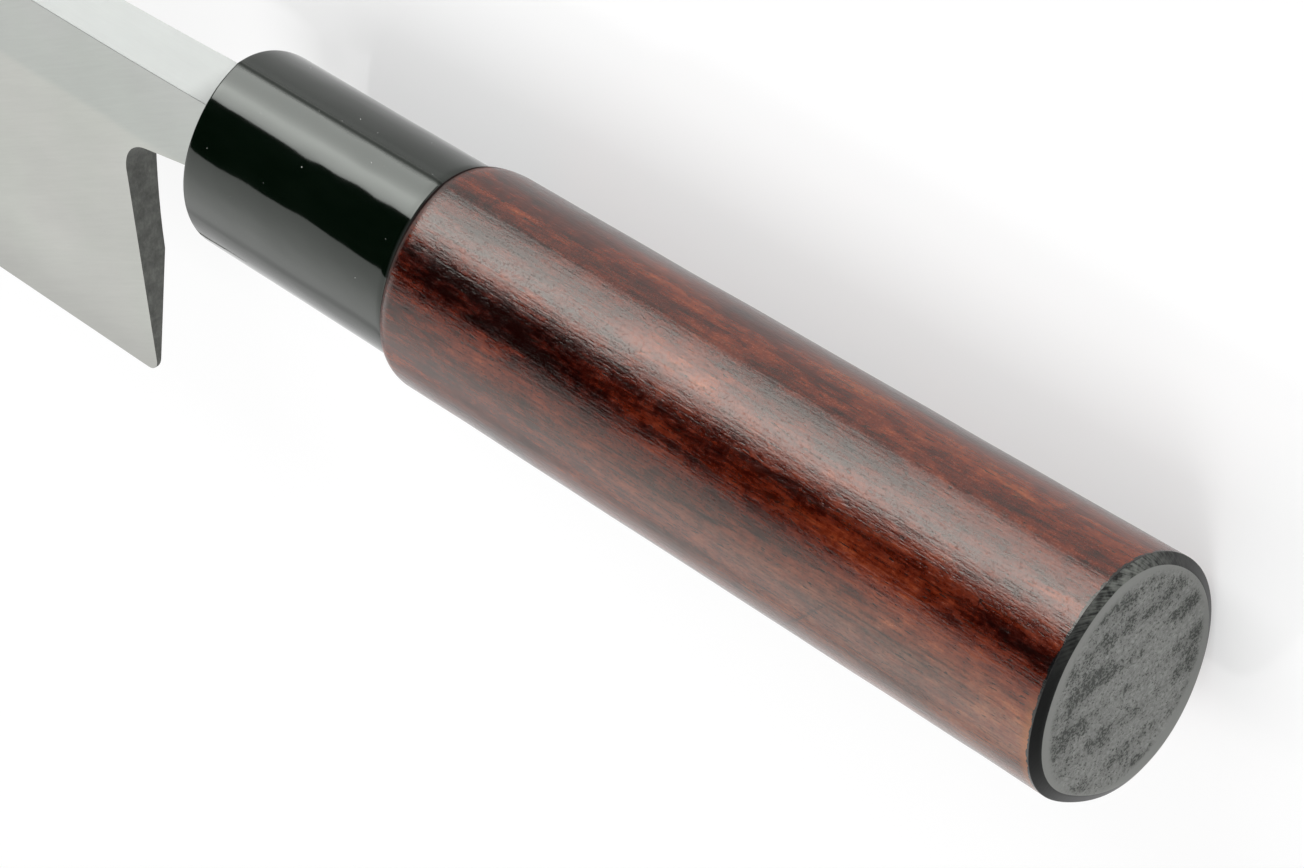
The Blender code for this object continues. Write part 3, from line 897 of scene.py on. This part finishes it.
def mouth_cutter():
    """The opening in the collar's front that the neck goes into, a gap wider all round."""
    face, ridge_up = left_face_at(0), EDGE_UP + BEVEL_HEIGHT
    section = [(face + GAP, -NECK_BOTTOM - GAP), (face + GAP, SPINE_UP + GAP)]
    for i in range(MOUTH_STEPS + 1):
        up = SPINE_UP + (-NECK_BOTTOM - SPINE_UP) * i / MOUTH_STEPS
        across = thickness_at(0, (up - ridge_up) / (SPINE_UP - ridge_up))
        section.append((face - across - GAP, up + GAP * (1 - 2 * i / MOUTH_STEPS)))
    ends = (COLLAR_FRONT_WALL, -2 * COLLAR_FRONT_WALL)
    return loft("mouth", [[(along, left, up) for left, up in section] for along in ends])


def make_collar():
    rings = []
    for i in range(EDGE_ROUND_STEPS + 1):
        turn = 0.5 * math.pi * i / EDGE_ROUND_STEPS
        along = -COLLAR_FRONT_ROUND * (1 - math.cos(turn))
        rings.append(collar_ring(along, COLLAR_FRONT_ROUND * (1 - math.sin(turn))))
    start, end = -COLLAR_FRONT_ROUND, COLLAR_BACK + COLLAR_BEAD
    for i in range(1, COLLAR_STEPS + 1):
        share = i / COLLAR_STEPS
        wave = COLLAR_WAVE * math.sin(math.pi * share)
        rings.append(collar_ring(start + (end - start) * share, wave=wave))
    for i in range(1, EDGE_ROUND_STEPS + 1):
        turn = 0.5 * math.pi * i / EDGE_ROUND_STEPS
        along = end - COLLAR_BEAD * math.sin(turn)
        rings.append(collar_ring(along, COLLAR_BEAD_IN * (1 - math.cos(turn))))
    bore = (COLLAR_SIZE[0] - 2 * COLLAR_WALL, COLLAR_SIZE[1] - 2 * COLLAR_WALL)
    rings.append(handle_ring(COLLAR_BACK, bore))
    rings.append(handle_ring(-COLLAR_FRONT_WALL, bore))
    collar = loft("collar_shell", rings)
    collar.data.materials.append(black_plastic())
    mouth = mouth_cutter()
    mouth.data.materials.append(collar.data.materials[0])
    combine(collar, mouth, "DIFFERENCE")
    smooth(collar, degrees=35)
    return collar


def between(first, second, share):
    return tuple(a + (b - a) * share for a, b in zip(first, second))


def grip_rings():
    """The grip's sections: its tenon, the rounded shoulder, the length, the chamfer, the butt."""
    tenon = tuple(side - 2 * COLLAR_WALL - 2 * GAP for side in COLLAR_SIZE)
    rings = [handle_ring(along, tenon) for along in (-COLLAR_FRONT_WALL - GAP, GRIP_FRONT)]
    lip = tuple(side + 2 * SHOULDER_LIP for side in COLLAR_SIZE)
    front_flat, butt_flat = GRIP_FLAT
    for i in range(SHOULDER_STEPS + 1):
        turn = math.radians(SHOULDER_START + (90 - SHOULDER_START) * i / SHOULDER_STEPS)
        size = between(lip, GRIP_FRONT_SIZE, math.sin(turn))
        along = GRIP_FRONT - SHOULDER_ROUND * (1 - math.cos(turn))
        full = (GRIP_FRONT_SHIFT, front_flat, GRIP_RIDGE)
        shift, flat, ridge = (part * math.sin(turn) for part in full)
        rings.append(handle_ring(along, size, shift, flat=flat, ridge=ridge))
    start, end = GRIP_FRONT - SHOULDER_ROUND, BUTT + CHAMFER_ALONG
    for i in range(1, GRIP_STEPS + 1):
        share = i / GRIP_STEPS
        along = start + (end - start) * share
        size = between(GRIP_FRONT_SIZE, GRIP_BUTT_SIZE, share)
        wave = GRIP_WAVE * min(1.0, WAVE_FADE * share, WAVE_FADE * (1 - share))
        flat = front_flat + (butt_flat - front_flat) * share
        shift = GRIP_FRONT_SHIFT * (1 - share)
        rings.append(handle_ring(along, size, shift, wave, flat=flat, ridge=GRIP_RIDGE))
    chamfer = [(end + (BUTT - end) * share, share) for share in CHAMFER_SHARES]
    for along, share in chamfer + [(BUTT, share) for share in BUTT_SHARES]:
        size = tuple(side - 2 * CHAMFER_IN * share for side in GRIP_BUTT_SIZE)
        rings.append(handle_ring(along, size, flat=butt_flat, ridge=GRIP_RIDGE))
    return rings


def make_grip():
    grip = loft("grip_wood", grip_rings())
    inside, butt_edge, butt_end, rim = range(4)
    for material in (wood(), butt_edge_paint(), butt_end_paint(), dark_rim()):
        grip.data.materials.append(material)
    ends = (-GAP, TANG_START - TANG_LENGTH - HOLE_CLEARANCE)
    hole = loft("tang_hole", tang_rings(HOLE_CLEARANCE, *ends))
    hole.data.materials.append(grip.data.materials[inside])
    combine(grip, hole, "DIFFERENCE")
    for face in grip.data.polygons:
        along = face.center.x + ORIGIN_ALONG
        if along < BUTT + 2 * CLOSE:
            face.material_index = butt_end
        elif along < BUTT + CHAMFER_ALONG * 0.98:
            face.material_index = butt_edge
        elif GRIP_FRONT - PAINTED_SHADE_RIM < along < GRIP_FRONT + CLOSE:
            face.material_index = rim
    smooth(grip, degrees=30)
    return grip


def make_pieces():
    for make, node in ((make_blade, "blade"), (make_collar, "collar"), (make_grip, "grip")):
        piece = make()
        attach(piece, "root")
        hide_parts(node)
    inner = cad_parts["tang_resin"]
    inner.material_slots[0].material = resin()


def softbox(name, middle, facing, size_x, size_y, levels):
    """A rectangular lamp with its width along X, whose light changes up its height."""
    lamp = bpy.data.lights.new(name, "AREA")
    lamp.shape = "RECTANGLE"
    lamp.size, lamp.size_y = size_x, size_y
    lamp.energy = math.pi * size_x * size_y
    lamp.use_nodes = True
    tree = lamp.node_tree
    place = tree.nodes.new("ShaderNodeNewGeometry").outputs["Parametric"]
    part = tree.nodes.new("ShaderNodeSeparateXYZ")
    tree.links.new(place, part.inputs[0])
    curve = tree.nodes.new("ShaderNodeFloatCurve")
    tree.links.new(part.outputs[1], curve.inputs["Value"])
    line = curve.mapping.curves[0]
    highest = max(level for _, level in levels)
    for index, (where, level) in enumerate(levels):
        if index < 2:
            line.points[index].location = (where, level / highest)
        else:
            line.points.new(where, level / highest)
    curve.mapping.update()
    boost = tree.nodes.new("ShaderNodeMath")
    boost.operation = "MULTIPLY"
    tree.links.new(curve.outputs[0], boost.inputs[0])
    boost.inputs[1].default_value = highest
    tree.links.new(boost.outputs[0], tree.nodes["Emission"].inputs["Strength"])
    back = -Vector(facing).normalized()
    side = Vector((1, 0, 0))
    turn = Matrix((side, back.cross(side), back)).transposed().to_4x4()
    lamp_object = bpy.data.objects.new(name, lamp)
    bpy.context.scene.collection.objects.link(lamp_object)
    lamp_object.matrix_world = Matrix.Translation(middle) @ turn
    lamp_object.visible_camera = False
    return lamp_object


def flag(lamp, piece_name):
    """Keeps the lamp's light off one piece, as a photographer's flag does."""
    flagged = bpy.data.collections.new("flagged_from_" + lamp.name)
    flagged.objects.link(bpy.data.objects[piece_name])
    flagged.collection_objects[0].light_linking.link_state = "EXCLUDE"
    lamp.light_linking.receiver_collection = flagged


def make_world():
    """A band of light round the horizon that fades past the tip, and soft light from the butt's
    side."""
    world = bpy.data.worlds.new("studio")
    bpy.context.scene.world = world
    world.use_nodes = True
    s = Shader(world)
    toward = s.split(s.add("ShaderNodeTexCoord").outputs["Generated"])
    horizon = s.product(
        s.span(s.calc("ABSOLUTE", toward[2]), 0.22, 0.42, 1.0, 0.0),
        s.span(toward[0], -0.60, -0.20, 0.25, 1.0),
        s.span(toward[0], 0.65, 0.88, 1.0, 0.1),
    )
    behind = s.span(toward[0], 0.25, -0.10, 0.0, 0.40)
    background = s.tree.nodes["Background"]
    s.put(background.inputs["Strength"], s.calc("MAXIMUM", horizon, behind))
    background.inputs["Color"].default_value = (1, 1, 1, 1)


def make_light():
    lamps = {name: softbox(name, *settings) for name, settings in LAMPS.items()}
    lamps["soft"].visible_glossy = False
    # The blade's flat would mirror the key as plain white from the edge side
    flag(lamps["key"], "blade_steel")
    make_world()


def white_share(s):
    """How far the floor turns plain white where it is seen. The share is less where the knife's
    shadow lies, and small in the zone before the spine, whose darker image the handle and the
    collar mirror."""
    beside = s.span(s.calc("ABSOLUTE", s.x), 0.16, 0.24, 0.0, 0.92)
    under_blade = s.product(s.span(s.x, -0.044, -0.012), s.span(s.y, -0.027, -0.020), 0.86)
    before, past = s.span(s.y, -0.028, -0.068, 0.48, 0.93), s.span(s.y, -0.02, 0.01, 0.0, 0.80)
    share = s.highest(before, past, under_blade, beside)
    outside = s.highest(
        s.span(s.y, -0.17, -0.11), s.span(s.y, -0.85, -0.98), s.span(s.x, -0.15, -0.35)
    )
    return s.calc("MULTIPLY", share, s.calc("MULTIPLY_ADD", outside, 0.9, 0.1))


def floor_material():
    """Pale and a little glossy, and plain white to the camera, mirrors and glass by a share."""
    s = new_shader("floor")
    s.finish((0.91, 0.91, 0.91, 1), 0.12)
    path = s.add("ShaderNodeLightPath").outputs
    seen = s.calc("ADD", path["Is Camera Ray"], path["Is Glossy Ray"])
    seen = s.calc("ADD", seen, path["Is Transmission Ray"], clamp=True)
    white = s.add("ShaderNodeEmission", {"Color": (1, 1, 1, 1), "Strength": 1.0})
    blend = s.add("ShaderNodeMixShader", {0: s.calc("MULTIPLY", seen, white_share(s))})
    s.tree.links.new(s.surface.outputs[0], blend.inputs[1])
    s.tree.links.new(white.outputs[0], blend.inputs[2])
    s.tree.links.new(blend.outputs[0], s.tree.nodes["Material Output"].inputs["Surface"])
    return s.material


def make_floor():
    low, high = -FLOOR_REACH, FLOOR_REACH
    corners = [(low, low, 0), (high, low, 0), (high, high, 0), (low, high, 0)]
    mesh = bpy.data.meshes.new("floor")
    mesh.from_pydata(corners, [], [(0, 1, 2, 3)])
    mesh.materials.append(floor_material())
    floor = bpy.data.objects.new("floor", mesh)
    floor.location.z = -FLOOR_DROP
    bpy.context.scene.collection.objects.link(floor)


def make_camera():
    camera = bpy.data.cameras.new("camera")
    camera.sensor_fit = "HORIZONTAL"
    camera.sensor_width = CAMERA_SENSOR
    camera.lens = CAMERA_LENS
    camera.clip_start = 0.01
    held = bpy.data.objects.new("camera", camera)
    bpy.context.scene.collection.objects.link(held)
    axes = (Vector(CAMERA_RIGHT), Vector(CAMERA_UP), -Vector(CAMERA_FORWARD))
    turn = Matrix(axes).transposed().to_4x4()
    held.matrix_world = Matrix.Translation(CAMERA_PLACE) @ turn
    bpy.context.scene.camera = held


make_pieces()
make_light()
make_floor()
make_camera()
bpy.context.scene.view_settings.view_transform = "Standard"
